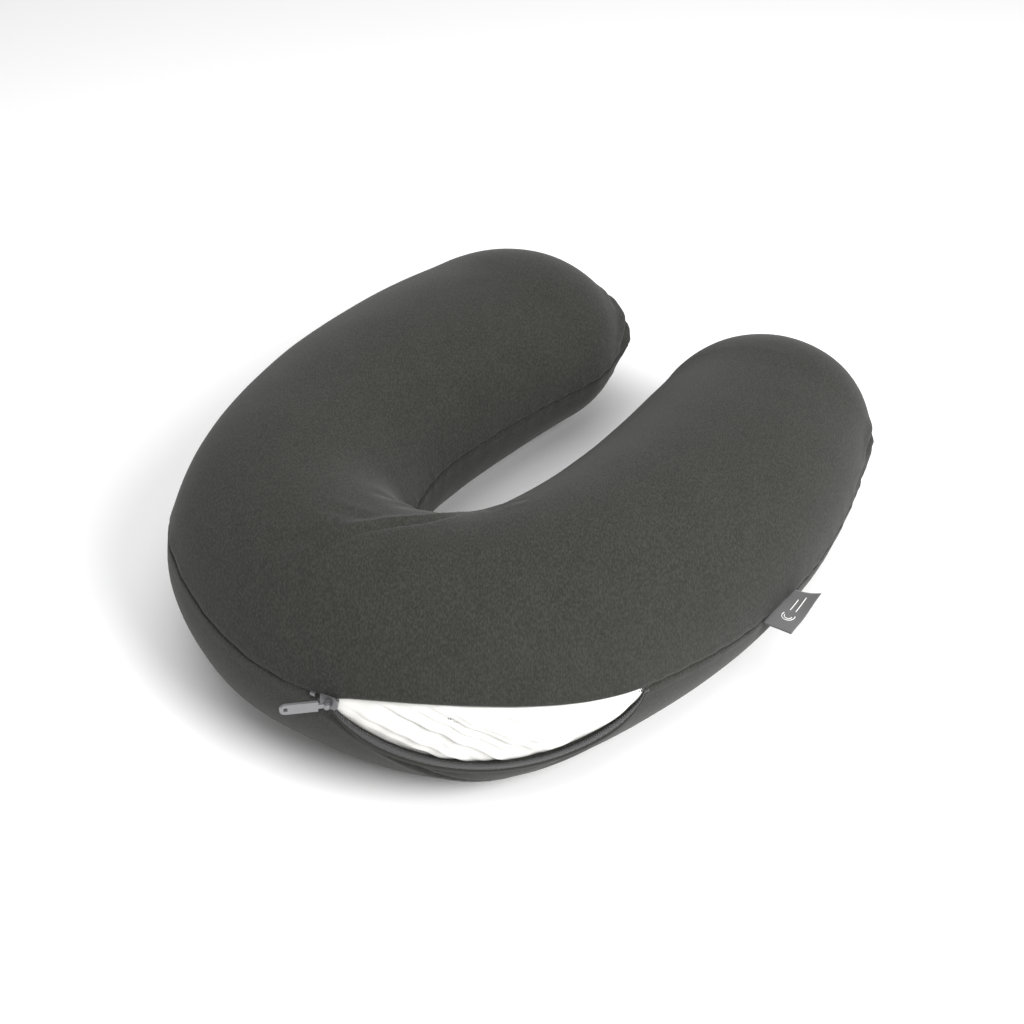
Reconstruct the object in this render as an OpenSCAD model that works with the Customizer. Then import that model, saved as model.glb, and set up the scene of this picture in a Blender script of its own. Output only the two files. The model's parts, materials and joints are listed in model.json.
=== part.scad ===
// Crescent nursing pillow: a zipped jersey cover around a bead-filled inner casing.
// Millimetres. +Z is up, the round back lies towards -Y and the open arms point to +Y.
// The origin is on the resting plane, below the middle of the round back's centre line
// moved by origin_shift, so that it lies below the middle of the whole pillow.

/* [Plan shape] */
// Radius of the round back's centre line
bend_r = 108.5; // [102:0.5:116]
// Angle that the round back turns to each side of its middle
bend_angle = 69.5; // [68:0.5:72]
// Length of each arm's first stretch along its centre line
near_len = 128; // [122:1:150]
// Length of each arm's last stretch along its centre line
far_len = 147; // [130:1:155]
// Angle that the first stretch of the right and of the left arm turns inwards
near_turn = [19.7, 21.4]; // [18:0.1:23]
// Angle that the right arm's last stretch turns inwards
far_turn_right = 11.7; // [6:0.1:14]
// Angle that the left arm's last stretch turns inwards
far_turn_left = 10.9; // [0:0.1:12]

/* [Thickness] */
// Half width of the round back
back_half_w = 75.2; // [72:0.1:80]
// Half width of the right arm, middle and tip
right_half_w = [87, 78.7]; // [70:0.1:92]
// Half width of the left arm, middle and tip
left_half_w = [78.7, 90.3]; // [70:0.1:92]
// Half height of the back, of an arm's middle and of an arm's tip
half_h = [83, 74.4, 62]; // [55:0.1:90]
// Share of an arm's length at which its middle sizes are reached
middle_at = 0.45; // [0.4:0.01:0.55]
// Height of the seam as a share of the half height, below 1 gives a flat underside
seat = 0.94; // [0.9:0.01:0.96]

/* [Fabric] */
// Thickness of the jersey cover
cover_t = 2; // [1.5:0.1:2]
// Thickness of the inner casing
casing_t = 1.2; // [0.8:0.1:1.2]
// Depth from the cover's outside to the casing's outside
casing_depth = 5.4; // [5.4:0.1:6]
// Depth from the cover's outside to the bead filling
fill_depth = 7; // [7:0.1:8.5]

/* [Zip] */
// Place of the slider when the zip is open, as an angle along the round back
zip_open_at = 10; // [9:1:14]
// Place of the top stops, as an angle along the round back
zip_end_at = 70; // [62:1:70]
// How far each lip of the open zip stands from the seam line, upper and lower
gape = [7, 30]; // [4:1:32]
// Tilt of the zip's arc, which lifts its open end above the equator
zip_tilt = 5.8; // [0:0.1:6]
// Half width of the slot between the cover's two edges along the closed zip
slot_half = 6; // [5.6:0.1:7]
// Width of the slider
slider_w = 8.6; // [7:0.1:9]
// Length of the slider
slider_len = 11; // [9:0.5:12]
// Length of the pull tab beyond its pin
pull_len = 27; // [20:1:30]
// Angle at which the pull tab stands out from the zip
pull_angle = 35; // [32:1:45]

/* [Labels] */
// Side label: length along the seam and length standing out of it
label_size = [40, 20]; // [15:1:45]
// Distance of the side label from the middle of the back along the centre line
label_at = 245; // [200:1:300]
// Upward tilt of the side label
label_tilt = 3; // [0:1:25]
// Fall of the right arm's seam at the side label, as an angle round the cross-section
seam_droop = 4.5; // [0:0.5:8]

/* [Hidden] */

jersey = [0.24, 0.24, 0.23];
white_cloth = [0.95, 0.95, 0.93];
bead_white = [0.98, 0.98, 0.98];
tape_colour = [0.13, 0.13, 0.13];
metal_grey = [0.35, 0.35, 0.36];
label_grey = [0.45, 0.45, 0.46];

bend_len = bend_r * bend_angle * PI / 180;
arm_len = near_len + far_len;
flex_gap = 0.4;                 // space between the back and an arm at their cut
flex_at = bend_len + 12;        // where each arm meets the back, along the centre line
far_turn = [far_turn_right, far_turn_left];
arm_half_w = [right_half_w, left_half_w];
seam_z = seat * half_h[0];      // height of the seam along the round back
origin_shift = [-15.2, -168.3, 0];  // from the back's centre line to the middle of the whole pillow's box
tip_close = 0.998;              // share of the rounded tip that the shells cover
least_size = 0.5;               // smallest half size that a shell shrinks to
panel_sides = 12;               // facets of a panel across the pillow
edge_step = 6;                  // angle of a panel's first and last facet, next to the seams
back_rings = 34;
arm_rings = 14;
strip_step = 2;                 // angle between the rings of a zip strip
seam_r = bend_r + back_half_w - 0.4;  // radius of the arc that the slider runs on

// ---- Centre line -------------------------------------------------------------------------

function smooth(t) = let (u = min(max(t, 0), 1)) u * u * (3 - 2 * u);
function arm(s) = s < 0 ? 1 : 0;
function spun(p, a) = [p.x * cos(a) - p.y * sin(a), p.x * sin(a) + p.y * cos(a)];
function arc_step(len, turn) =
    abs(turn) < 0.001 ? [len, 0]
    : let (r = len / (turn * PI / 180)) [r * sin(turn), r * (1 - cos(turn))];

// Lengths run on each stretch up to the distance s: back, near, far, rounded tip
function runs(s) =
    let (d = abs(s), a = d - bend_len, b = a - near_len, c = b - far_len)
    [min(d, bend_len), min(max(a, 0), near_len), min(max(b, 0), far_len), max(c, 0)];
function turns(s) =
    let (q = runs(s))
    [q[0] / bend_len * bend_angle, q[1] / near_len * near_turn[arm(s)], q[2] / far_len * far_turn[arm(s)]];
function heading(s) = let (t = turns(s)) t[0] + t[1] + t[2];

// Point of the centre line at the signed distance s from the middle of the back
function centre(s) =
    let (q = runs(s), t = turns(s),
         p = arc_step(q[0], t[0]) + spun(arc_step(q[1], t[1]), t[0])
             + spun(arc_step(q[2], t[2]), t[0] + t[1]) + spun([q[3], 0], heading(s)))
    [s < 0 ? -p.x : p.x, p.y];
function outward(s) = let (h = heading(s)) [(s < 0 ? -1 : 1) * sin(h), -cos(h)];

// ---- Cross-section -----------------------------------------------------------------------

function arm_share(s) = min(max((abs(s) - bend_len) / arm_len, 0), 1);
function three_way(a, b, c, t) =
    t < middle_at ? a + (b - a) * smooth(t / middle_at)
    : b + (c - b) * smooth((t - middle_at) / (1 - middle_at));
function rounding(s) = let (u = runs(s)[3] / arm_half_w[arm(s)][1]) sqrt(max(1 - u * u, 0));
function half_w(s) = three_way(back_half_w, arm_half_w[arm(s)][0], arm_half_w[arm(s)][1], arm_share(s));
function full_h(s) = three_way(half_h[0], half_h[1], half_h[2], arm_share(s));
function tip_at(side) = bend_len + arm_len + tip_close * arm_half_w[side][1];

// Point of a shell at the depth d below the cover's outside. The angle starts at the outer
// seam, 90 is the top and 180 the inner seam.
function skin(s, angle, d) =
    let (c = centre(s), n = outward(s),
         w = max(half_w(s) * rounding(s) - d, least_size * (1 + fill_depth - d)),
         h = max(full_h(s) * rounding(s) - d, least_size * (1 + fill_depth - d)),
         p = c + n * w * cos(angle))
    [p.x, p.y, max(seat * full_h(s) + h * sin(angle), d)];

// ---- Grids of points made into closed solids -----------------------------------------------

// A sheet between two layers of points, each a list of rows of the same length
module slab(outer, inner) {
    rows = len(outer);
    cols = len(outer[0]);
    all = [for (layer = [outer, inner]) for (row = layer) each row];
    function at(layer, i, j) = layer * rows * cols + i * cols + j;
    function quad(a, b, c, d) = [[a, b, c], [a, c, d]];
    faces = [
        for (i = [0 : rows - 2], j = [0 : cols - 2]) each [
            each quad(at(0, i, j), at(0, i, j + 1), at(0, i + 1, j + 1), at(0, i + 1, j)),
            each quad(at(1, i, j), at(1, i + 1, j), at(1, i + 1, j + 1), at(1, i, j + 1))],
        for (i = [0 : rows - 2]) each [
            each quad(at(0, i, 0), at(0, i + 1, 0), at(1, i + 1, 0), at(1, i, 0)),
            each quad(at(0, i, cols - 1), at(1, i, cols - 1), at(1, i + 1, cols - 1), at(0, i + 1, cols - 1))],
        for (j = [0 : cols - 2]) each [
            each quad(at(0, 0, j + 1), at(0, 0, j), at(1, 0, j), at(1, 0, j + 1)),
            each quad(at(0, rows - 1, j), at(0, rows - 1, j + 1), at(1, rows - 1, j + 1), at(1, rows - 1, j))]];
    polyhedron(points = all, faces = faces, convexity = 6);
}

// A solid through closed rings of points
module loaf(rings) {
    count = len(rings);
    sides = len(rings[0]);
    last = (count - 1) * sides;
    faces = [
        for (i = [0 : count - 2], j = [0 : sides - 1])
            let (k = (j + 1) % sides, a = i * sides, b = a + sides)
            each [[a + j, a + k, b + k], [a + j, b + k, b + j]],
        [for (j = [sides - 1 : -1 : 0]) j],
        [for (j = [0 : sides - 1]) last + j]];
    polyhedron(points = [for (r = rings) each r], faces = faces, convexity = 6);
}

// Turns a list round when the sweep runs towards the left tip, so that faces look outwards
function facing(list, flip) = flip ? [for (i = [len(list) - 1 : -1 : 0]) list[i]] : list;

// Places of the rings: evenly along the back, closer together towards a rounded tip
function back_places() = [for (i = [0 : back_rings]) flex_at * (2 * i / back_rings - 1)];
function arm_places(side) =
    let (from = flex_at + flex_gap, reach = tip_at(side) - from, turn = side == 1 ? -1 : 1)
    facing([for (i = [0 : arm_rings]) turn * (from + reach * sin(90 * i / arm_rings) ^ 0.9)], side == 1);

// ---- Zip opening ---------------------------------------------------------------------------

function along_back(s) = s / bend_len * bend_angle;
function lens(a) = let (u = (a - zip_open_at) / (zip_end_at - zip_open_at)) u > 0 && u < 1 ? sin(180 * u) : 0;
function in_zip(a) = a > zip_open_at - 10 && a < zip_end_at + 5;
function lift(mm) = asin(mm / half_h[0]);

// Height of the seam above the equator: the tilted arc of the zip, and a fall to the left of it
function tilted(a) = seam_r * tan(zip_tilt) * sin(zip_end_at - a);
function rise(a) = a > zip_end_at ? 0 : a > 0 ? tilted(a) : tilted(0) * smooth(1 + a / seam_fall);

// Fall of the right arm's seam, fullest at the side label
function droop(s) = seam_droop * smooth((s - bend_len) / (label_at - bend_len))
    * (1 - smooth((s - label_at) / (bend_len + arm_len - label_at)));

// Angle of the cover's edge on the outer side, upper for k = 0 and lower for k = 1. The two
// edges meet where the seam is sewn shut.
function lip(s, k) =
    let (a = along_back(s), side = k == 0 ? 1 : -1)
    lift(rise(a) + (in_zip(a) ? side * (slot_half + gape[k] * lens(a)) : 0)) - droop(s);

// ---- Panels, casing and filling --------------------------------------------------------------

// Angles across a panel, from one seam to the other
function spread(from, to) =
    let (a = from + edge_step, b = to - edge_step, inner = panel_sides - 2)
    [from, for (j = [0 : inner]) a + (b - a) * j / inner, to];

module upper_panel(places, d, t, zipped, fall = 0) {
    function row(s, deep) = [for (a = spread(zipped ? lip(s, 0) : -fall * droop(s), 180)) skin(s, a, deep)];
    slab([for (s = places) row(s, d)], [for (s = places) row(s, d + t)]);
}

module lower_panel(places, d, t, zipped, fall = 0) {
    function row(s, deep) = [for (a = spread(180, 360 + (zipped ? lip(s, 1) : -fall * droop(s)))) skin(s, a, deep)];
    slab([for (s = places) row(s, d)], [for (s = places) row(s, d + t)]);
}

module filling(places) {
    around = concat(spread(0, 180), [for (a = spread(180, 360)) if (a > 180 && a < 360) a]);
    loaf([for (s = places) [for (a = around) skin(s, a, fill_depth)]]);
}

module cover_top(places, zipped) { color(jersey) upper_panel(places, 0, cover_t, zipped, 1); }
module cover_bottom(places, zipped) { color(jersey) lower_panel(places, 0, cover_t, zipped, 1); }
module casing_top(places) { color(white_cloth) upper_panel(places, casing_depth, casing_t, false); }
module casing_bottom(places) { color(white_cloth) lower_panel(places, casing_depth, casing_t, false); }
module bead_fill(places) { color(bead_white) filling(places); }

// ---- Zip -------------------------------------------------------------------------------------

edge_gap = 1.3;      // from the seam line to a coil
coil_w = 2.3;
tape_t = 0.8;
tape_depth = 1.2;    // depth of the tape in the slot, below the cover's outside
sewn_depth = 3;      // depth of the tape's edge behind the cover
sewn_w = 7;
coil_proud = 0.8;    // how far a coil stands out of the cover's outside
plate_t = 1.2;
plate_clear = 0.75;   // space between the outer plate and the coils
back_clear = 1.15;   // space between the inner plate and the tapes
seam_fall = 45;      // angle over which the seam falls back to the equator, left of the zip
strip_from = zip_open_at - 2.4;
strip_to = zip_end_at + 1.3;

// Point of a zip strip: mm from the free edge line, and depth
function strip_point(a, k, mm, d) =
    let (side = k == 0 ? 1 : -1)
    skin(a / bend_angle * bend_len, lift(rise(a) + side * (gape[k] * lens(a) + mm)), d);
// A strip along one lip. The profile is a list of [mm from the seam line, depth].
module strip(k, from, to, profile, t) {
    steps = ceil((to - from) / strip_step);
    path = facing([for (i = [0 : steps]) from + (to - from) * i / steps], k == 1);
    slab([for (a = path) [for (p = profile) strip_point(a, k, p[0], p[1])]],
         [for (a = path) [for (p = profile) strip_point(a, k, p[0], p[1] + t)]]);
}

module zip_tape(k) {
    color(tape_colour)
        strip(k, strip_from, strip_to,
              [[edge_gap, tape_depth], [slot_half - 1.1, tape_depth],
               [slot_half + 0.4, sewn_depth], [slot_half + sewn_w, sewn_depth]], tape_t);
}

module zip_coil(k) {
    color(tape_colour)
        strip(k, strip_from, zip_end_at,
              [[edge_gap, -coil_proud], [edge_gap + coil_w, -coil_proud]], coil_proud + tape_depth - 0.1);
}

// Moves its children from the arc's frame to a place on the seam: X along the seam towards
// the right arm, -Y out of the pillow, Z up
module on_seam(a) {
    translate([0, bend_r, seam_z]) rotate([0, 0, zip_end_at]) rotate([0, zip_tilt, 0])
        rotate([0, 0, a - zip_end_at]) translate([0, -seam_r, 0]) children();
}

module zip_bottom_stop() {
    color(metal_grey) on_seam(zip_open_at - 3.6)
        translate([-1.5, -coil_proud, -1.1]) cube([3, coil_proud + tape_depth, 2.2]);
}

module zip_top_stop(k) {
    color(metal_grey) on_seam(zip_end_at + 1)
        translate([-1.5, -coil_proud, k == 0 ? edge_gap : -edge_gap - coil_w])
            cube([3, coil_proud + tape_depth - 0.5, coil_w]);
}

pin_r = 0.75;
pin_out = 4.8;       // the pull pin's distance out of the cover's outside
eye_r = 2;
ear_t = 1;
ear_gap = 1.6;       // half of the space between the two ears
pin_clear = 0.06;

// A plate of the slider, seen along Y: straight at the back and rounded at its two front corners
module slider_plate() {
    corner = 2.6;
    rotate([90, 0, 0]) linear_extrude(plate_t) union() {
        translate([-slider_len / 2, -slider_w / 2]) square([slider_len - corner, slider_w]);
        translate([-slider_len / 2, -slider_w / 2 + corner]) square([slider_len, slider_w - 2 * corner]);
        for (side = [-1, 1])
            translate([slider_len / 2 - corner, side * (slider_w / 2 - corner)]) circle(corner, $fn = 32);
    }
}

module zip_slider() {
    outer_face = coil_proud + plate_clear;
    inner_face = tape_depth + tape_t + back_clear;
    color(metal_grey) on_seam(zip_open_at) difference() {
        union() {
            translate([0, -outer_face, 0]) slider_plate();
            translate([0, inner_face + plate_t, 0]) slider_plate();
            translate([1.8, -outer_face - 0.5, -0.9]) cube([3, outer_face + inner_face + 1, 1.8]);
            for (z = [-ear_gap - ear_t, ear_gap])
                translate([0, -outer_face - 0.5, z]) union() {
                    translate([-1.6, outer_face + 0.5 - pin_out, 0]) cube([3.2, pin_out - outer_face - 0.5, ear_t]);
                    translate([0, outer_face + 0.5 - pin_out, 0]) cylinder(r = 1.6, h = ear_t, $fn = 32);
                }
        }
        translate([0, -pin_out, -ear_gap - 2 * ear_t])
            cylinder(r = pin_r, h = 2 * ear_gap + 4 * ear_t, $fn = 32);
    }
}

module zip_pull_pin() {
    reach = ear_gap + ear_t;
    color(metal_grey) on_seam(zip_open_at) translate([0, -pin_out, -reach])
        cylinder(r = pin_r, h = 2 * reach, $fn = 32);
}

module zip_pull_tab() {
    tab_t = 1.6;
    tab_w = 7;
    neck = 5;         // length of the narrow part between the eye and the tab
    eye_half = ear_gap - 0.2;
    color(metal_grey) on_seam(zip_open_at) translate([0, -pin_out, 0]) rotate([0, 0, 180 + pull_angle])
        difference() {
            union() {
                translate([0, 0, -eye_half]) cylinder(r = eye_r, h = 2 * eye_half, $fn = 32);
                translate([0, -tab_t / 2, -eye_half]) cube([neck + 1, tab_t, 2 * eye_half]);
                translate([neck, tab_t / 2, 0]) rotate([90, 0, 0]) linear_extrude(tab_t) union() {
                    translate([0, -tab_w / 2]) square([pull_len - neck - tab_w / 2, tab_w]);
                    translate([pull_len - neck - tab_w / 2, 0]) circle(tab_w / 2, $fn = 32);
                }
            }
            translate([0, 0, -eye_half - 1]) cylinder(r = pin_r + pin_clear, h = 2 * eye_half + 2, $fn = 32);
            translate([pull_len - tab_w / 2, tab_t, 0]) rotate([90, 0, 0]) cylinder(r = 1.4, h = 2 * tab_t, $fn = 32);
        }
}

// ---- Labels ------------------------------------------------------------------------------------

label_clear = 1;     // space between the cover and the side label's free part
module side_label() {
    cloth = 0.5;
    h = heading(label_at);
    fall = droop(label_at);
    root = centre(label_at) + outward(label_at) * (half_w(label_at) * cos(fall) + label_clear);
    color(label_grey) translate([root.x, root.y, (seat - sin(fall)) * full_h(label_at)]) rotate([0, 0, h])
        rotate([-label_tilt, 0, 0]) rotate([180, 0, 0]) rotate([0, 90, 0])
            translate([0, 0, -label_size[0] / 2]) linear_extrude(label_size[0]) difference() {
                translate([-1.2 * cloth, 0]) square([2.4 * cloth, label_size[1]]);
                translate([-0.2 * cloth, 2]) square([0.4 * cloth, label_size[1] - 3]);
            }
}

module care_label() {
    depth = 3.3;
    cloth = 0.6;
    columns = 4;
    places = [for (i = [0 : 6]) -0.75 * bend_len + 40 * i / 6];
    function row(s, d) = [for (j = [0 : columns]) skin(s, -30 + 26 * j / columns, d)];
    color(white_cloth) slab([for (s = places) row(s, depth)], [for (s = places) row(s, depth + cloth)]);
}

// ---- Nodes -------------------------------------------------------------------------------------

module placed() { translate(origin_shift) children(); }

placed() cover_top(back_places(), true);  // cover_top_back
placed() cover_top(arm_places(0), false);  // cover_top_right_arm
placed() cover_top(arm_places(1), false);  // cover_top_left_arm
placed() cover_bottom(back_places(), true);  // cover_bottom_back
placed() cover_bottom(arm_places(0), false);  // cover_bottom_right_arm
placed() cover_bottom(arm_places(1), false);  // cover_bottom_left_arm
placed() casing_top(back_places());  // casing_top_back
placed() casing_top(arm_places(0));  // casing_top_right_arm
placed() casing_top(arm_places(1));  // casing_top_left_arm
placed() casing_bottom(back_places());  // casing_bottom_back
placed() casing_bottom(arm_places(0));  // casing_bottom_right_arm
placed() casing_bottom(arm_places(1));  // casing_bottom_left_arm
placed() bead_fill(back_places());  // bead_fill_back
placed() bead_fill(arm_places(0));  // bead_fill_right_arm
placed() bead_fill(arm_places(1));  // bead_fill_left_arm
placed() zip_tape(0);  // zip_tape_upper
placed() zip_tape(1);  // zip_tape_lower
placed() zip_coil(0);  // zip_coil_upper
placed() zip_coil(1);  // zip_coil_lower
placed() zip_bottom_stop();
placed() zip_top_stop(0);  // zip_top_stop_upper
placed() zip_top_stop(1);  // zip_top_stop_lower
placed() zip_slider();
placed() zip_pull_pin();
placed() zip_pull_tab();
placed() side_label();
placed() care_label();
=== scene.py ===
import json
import math

import bpy
import numpy as np
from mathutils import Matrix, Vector
from mathutils.kdtree import KDTree


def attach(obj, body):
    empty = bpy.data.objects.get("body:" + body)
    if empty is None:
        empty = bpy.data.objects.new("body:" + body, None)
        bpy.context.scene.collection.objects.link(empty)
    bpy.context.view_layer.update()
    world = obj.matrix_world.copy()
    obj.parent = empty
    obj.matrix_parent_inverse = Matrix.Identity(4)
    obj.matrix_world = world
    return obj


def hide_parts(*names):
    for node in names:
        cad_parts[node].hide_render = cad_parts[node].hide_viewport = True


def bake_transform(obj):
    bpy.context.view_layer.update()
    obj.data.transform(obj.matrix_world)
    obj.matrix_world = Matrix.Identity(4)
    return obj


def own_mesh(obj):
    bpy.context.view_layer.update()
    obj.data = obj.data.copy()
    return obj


bl_info = {
    "name": "Crescent Nursing Pillow",
    "version": (1, 0, 0),
    "blender": (4, 5, 0),
    "location": "View3D > Sidebar > Pillow",
    "description": "Builds a crescent nursing pillow with a zipped jersey cover, part open",
    "category": "Object",
}

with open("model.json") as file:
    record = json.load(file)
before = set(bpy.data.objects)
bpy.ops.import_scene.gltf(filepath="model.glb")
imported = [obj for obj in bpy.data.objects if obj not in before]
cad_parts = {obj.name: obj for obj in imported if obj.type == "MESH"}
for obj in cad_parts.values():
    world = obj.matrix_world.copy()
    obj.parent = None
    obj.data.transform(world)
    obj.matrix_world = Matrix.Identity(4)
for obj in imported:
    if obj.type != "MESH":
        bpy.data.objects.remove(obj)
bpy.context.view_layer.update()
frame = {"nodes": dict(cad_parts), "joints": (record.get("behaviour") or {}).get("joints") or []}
JOINTS = {joint["name"]: joint for joint in frame["joints"]}
ARC_CENTRE = np.array(JOINTS["slider_travel"]["pos_m"])

MM = 0.001
UP = np.array([0.0, 0.0, 1.0])


# ---- Sizes and colours that a user may change ------------------------------------------------


def length(name, text, default):
    return bpy.props.FloatProperty(name=name, description=text, default=default, unit="LENGTH")


def angle(name, text, degrees):
    return bpy.props.FloatProperty(
        name=name, description=text, default=math.radians(degrees), unit="ROTATION")


def share(name, text, default):
    return bpy.props.FloatProperty(name=name, description=text, default=default, subtype="FACTOR")


def colour(name, text, default):
    return bpy.props.FloatVectorProperty(
        name=name, description=text, default=default, size=3, subtype="COLOR", min=0, max=1)


class PillowShape(bpy.types.PropertyGroup):
    """Plan and thickness of the pillow"""

    bend_r: length("Bend radius", "Radius of the round back's centre line", 0.1074)
    bend_angle: angle("Bend angle", "Turn of the round back to each side", 69.44)
    near_len: length("First stretch", "Length of each arm's first stretch", 0.1282)
    far_len: length("Last stretch", "Length of each arm's last stretch", 0.1454)
    near_turn_right: angle("First right turn", "Inward turn of the right arm's first stretch", 19.24)
    near_turn_left: angle("First left turn", "Inward turn of the left arm's first stretch", 21.3)
    far_turn_right: angle("Right turn", "Inward turn of the right arm's last stretch", 11.56)
    far_turn_left: angle("Left turn", "Inward turn of the left arm's last stretch", 11.12)
    back_w: length("Back half width", "Half width of the round back", 0.0763)
    right_near_w: length("Right near width", "Half width that the right arm grows to first", 0.0849)
    right_far_w: length("Right far width", "Half width that the right arm grows to next", 0.0914)
    right_tip_w: length("Right tip", "Half width of the right arm's tip", 0.0773)
    left_near_w: length("Left near width", "Half width that the left arm grows to first", 0.0712)
    left_far_w: length("Left far width", "Half width that the left arm grows to next", 0.0889)
    left_tip_w: length("Left tip", "Half width of the left arm's tip", 0.0899)
    back_h: length("Back half height", "Half height of the round back", 0.0821)
    near_h: length("Near half height", "Half height that an arm falls to first", 0.0776)
    far_h: length("Far half height", "Half height that an arm falls to next", 0.0707)
    tip_h: length("Tip half height", "Half height of an arm's tip", 0.0626)
    seat: share("Seat", "Height of the seam as a share of the half height", 0.94)
    flex_run: length("Flex run", "Half length of the cloth that bends at an arm's root", 0.06)
    flex_past: length("Flex place", "Distance of an arm's root past the round back's end", 0.012)
    casing_depth: length("Casing depth", "Depth of the inner casing below the cover", 0.0074)
    filling_depth: length("Filling depth", "Depth of the filling below the cover", 0.0095)
    wrinkle_cap: length("Wrinkle cap", "Most that a wrinkle may stand off the shape", 0.003)


class PillowZip(bpy.types.PropertyGroup):
    """Zip opening and its parts"""

    open_at: angle("Slider place", "Angle of the slider along the round back", 10)
    end_at: angle("Top stops", "Angle of the top stops along the round back", 70)
    tilt: angle("Tilt", "Tilt of the zip's arc", 5.8)
    fall: angle("Seam fall", "Angle over which the raised seam falls back", 110)
    pulled: length("Pulled seam", "Height by which the seam is pulled up on the left", 0.013)
    droop: angle("Seam droop", "Fall of the right arm's seam at the side label", 4.5)
    label_at: length("Label place", "Distance of the side label along the centre line", 0.234)
    gape_up: length("Upper gape", "Opening above the zip line", 0.0100)
    gape_down: length("Lower gape", "Opening below the zip line", 0.0385)
    slot: length("Slot", "Half width of the slot along the closed zip", 0.0022)
    pocket: length("Pocket depth", "Depth behind the lips of the opening", 0.0046)
    tooth_pitch: length("Tooth pitch", "Distance between two teeth of a coil", 0.0014)
    stitch: length("Stitch length", "Length of one stitch along the tape", 0.0024)


class PillowLabel(bpy.types.PropertyGroup):
    """Side label and care label"""

    side_len: length("Side label length", "Length along the seam", 0.038)
    side_out: length("Side label reach", "Length standing out of the seam", 0.020)
    tilt: angle("Side label tilt", "Upward tilt of the side label", 3)
    curl: length("Side label curl", "Rise of the side label's far corner", 0.0062)
    care_len: length("Care label length", "Length along the seam", 0.069)
    care_out: length("Care label reach", "Length down from the seam", 0.0375)


class PillowColours(bpy.types.PropertyGroup):
    """Colours of the fabrics and the zip"""

    jersey_dark: colour("Jersey, dark yarn", "Darkest yarn of the heather", (0.0160, 0.0165, 0.0142))
    jersey_light: colour("Jersey, light yarn", "Lightest yarn of the heather", (0.0375, 0.0388, 0.0335))
    casing: colour("Casing", "Inner casing", (0.66, 0.655, 0.63))
    tape: colour("Zip tape", "Woven zip tape", (0.040, 0.040, 0.040))
    coil: colour("Zip coil", "Nylon coil", (0.028, 0.028, 0.029))
    metal: colour("Zip metal", "Enamelled slider and stops", (0.10, 0.10, 0.105))
    label: colour("Side label", "Woven side label", (0.105, 0.105, 0.107))
    beads: colour("Beads", "Expanded beads", (0.86, 0.86, 0.86))


def settings():
    scene = bpy.context.scene
    return scene.pillow_shape, scene.pillow_zip, scene.pillow_label, scene.pillow_colours


# ---- Centre line and cross-section -----------------------------------------------------------


def smooth(t):
    u = np.clip(t, 0, 1)
    return u * u * (3 - 2 * u)


def spun(p, turn):
    """Points in plan, turned about the origin."""
    c, s = np.cos(turn), np.sin(turn)
    return np.stack([p[..., 0] * c - p[..., 1] * s, p[..., 0] * s + p[..., 1] * c], -1)


def unit(v):
    return v / np.maximum(np.linalg.norm(v, axis=-1, keepdims=True), 1e-12)


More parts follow.
